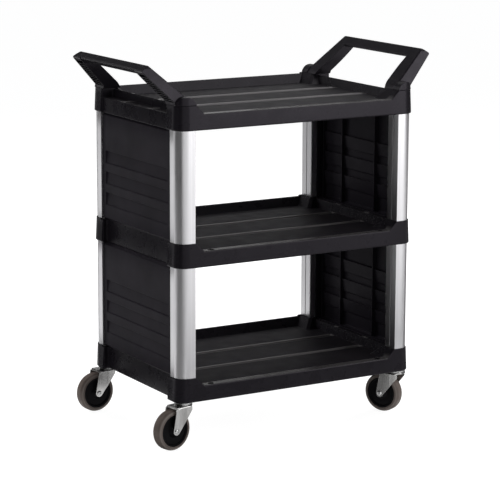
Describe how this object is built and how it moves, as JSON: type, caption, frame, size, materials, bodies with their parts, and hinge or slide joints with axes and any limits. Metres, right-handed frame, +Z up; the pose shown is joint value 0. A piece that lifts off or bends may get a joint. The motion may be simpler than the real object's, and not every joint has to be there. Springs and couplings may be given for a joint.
{
  "type": "service cart",
  "caption": "Rolling service cart with open-fronted tray shelves on aluminium corner posts, louvred end panels, a push handle at each end and swivel casters.",
  "frame": {"origin": "on the floor, below the middle of the cart", "axes": "+X along the cart towards one push handle, +Y to the back, away from the open front, +Z up"},
  "size_m": [0.8412, 0.483, 0.957],
  "materials": {
    "shelf_plastic": "fine-grained black moulding, satin on the skirts",
    "panel_plastic": "fine-grained black moulding",
    "handle_plastic": "smooth satin black moulding",
    "post_aluminium": "satin anodised extrusion",
    "screw_steel": "zinc-plated",
    "socket_plastic": "plain moulded sleeve",
    "caster_zinc": "bright zinc-plated pressing",
    "axle_steel": "zinc-plated",
    "wheel_plastic": "black moulded core",
    "tyre_rubber": "matt grey-brown elastomer"
  },
  "bodies": {
    "frame": {"bottom_shelf": "shelf_plastic", "middle_shelf": "shelf_plastic", "top_shelf": "shelf_plastic", "lower_post_back_right": "post_aluminium", "lower_post_back_left": "post_aluminium", "lower_post_front_left": "post_aluminium", "lower_post_front_right": "post_aluminium", "lower_panel_left": "panel_plastic", "lower_panel_right": "panel_plastic", "upper_post_back_right": "post_aluminium", "upper_post_back_left": "post_aluminium", "upper_post_front_left": "post_aluminium", "upper_post_front_right": "post_aluminium", "upper_panel_left": "panel_plastic", "upper_panel_right": "panel_plastic", "handle_left": "handle_plastic", "handle_right": "handle_plastic", "handle_screws": "screw_steel", "stem_socket_back_right": "socket_plastic", "stem_back_right": "caster_zinc", "stem_socket_back_left": "socket_plastic", "stem_back_left": "caster_zinc", "stem_socket_front_left": "socket_plastic", "stem_front_left": "caster_zinc", "stem_socket_front_right": "socket_plastic", "stem_front_right": "caster_zinc"},
    "swivel_back_right": {"swivel_race_back_right": "caster_zinc", "fork_back_right": "caster_zinc", "axle_bolt_back_right": "axle_steel", "axle_nut_back_right": "axle_steel", "axle_sleeve_back_right": "axle_steel"},
    "wheel_back_right": {"wheel_core_back_right": "wheel_plastic", "tyre_back_right": "tyre_rubber"},
    "swivel_back_left": {"swivel_race_back_left": "caster_zinc", "fork_back_left": "caster_zinc", "axle_bolt_back_left": "axle_steel", "axle_nut_back_left": "axle_steel", "axle_sleeve_back_left": "axle_steel"},
    "wheel_back_left": {"wheel_core_back_left": "wheel_plastic", "tyre_back_left": "tyre_rubber"},
    "swivel_front_left": {"swivel_race_front_left": "caster_zinc", "fork_front_left": "caster_zinc", "axle_bolt_front_left": "axle_steel", "axle_nut_front_left": "axle_steel", "axle_sleeve_front_left": "axle_steel"},
    "wheel_front_left": {"wheel_core_front_left": "wheel_plastic", "tyre_front_left": "tyre_rubber"},
    "swivel_front_right": {"swivel_race_front_right": "caster_zinc", "fork_front_right": "caster_zinc", "axle_bolt_front_right": "axle_steel", "axle_nut_front_right": "axle_steel", "axle_sleeve_front_right": "axle_steel"},
    "wheel_front_right": {"wheel_core_front_right": "wheel_plastic", "tyre_front_right": "tyre_rubber"}
  },
  "joints": [
    {"name": "caster_swivel_back_right", "type": "hinge", "parent": "frame", "child": "swivel_back_right", "pos_m": [0.321, 0.2085, 0.108], "axis": [0, 0, 1], "continuous": true},
    {"name": "wheel_spin_back_right", "type": "hinge", "parent": "swivel_back_right", "child": "wheel_back_right", "pos_m": [0.2837, 0.21575, 0.051], "axis": [-0.1908, -0.9816, 0], "continuous": true},
    {"name": "caster_swivel_back_left", "type": "hinge", "parent": "frame", "child": "swivel_back_left", "pos_m": [-0.321, 0.2085, 0.108], "axis": [0, 0, 1], "continuous": true},
    {"name": "wheel_spin_back_left", "type": "hinge", "parent": "swivel_back_left", "child": "wheel_back_left", "pos_m": [-0.35883, 0.20486, 0.051], "axis": [0.0958, -0.9954, 0], "continuous": true},
    {"name": "caster_swivel_front_left", "type": "hinge", "parent": "frame", "child": "swivel_front_left", "pos_m": [-0.321, -0.2085, 0.108], "axis": [0, 0, 1], "continuous": true},
    {"name": "wheel_spin_front_left", "type": "hinge", "parent": "swivel_front_left", "child": "wheel_front_left", "pos_m": [-0.3583, -0.21575, 0.051], "axis": [0.1908, -0.9816, 0], "continuous": true},
    {"name": "caster_swivel_front_right", "type": "hinge", "parent": "frame", "child": "swivel_front_right", "pos_m": [0.321, -0.2085, 0.108], "axis": [0, 0, 1], "continuous": true},
    {"name": "wheel_spin_front_right", "type": "hinge", "parent": "swivel_front_right", "child": "wheel_front_right", "pos_m": [0.30464, -0.1742, 0.051], "axis": [-0.9026, -0.4305, 0], "continuous": true}
  ]
}
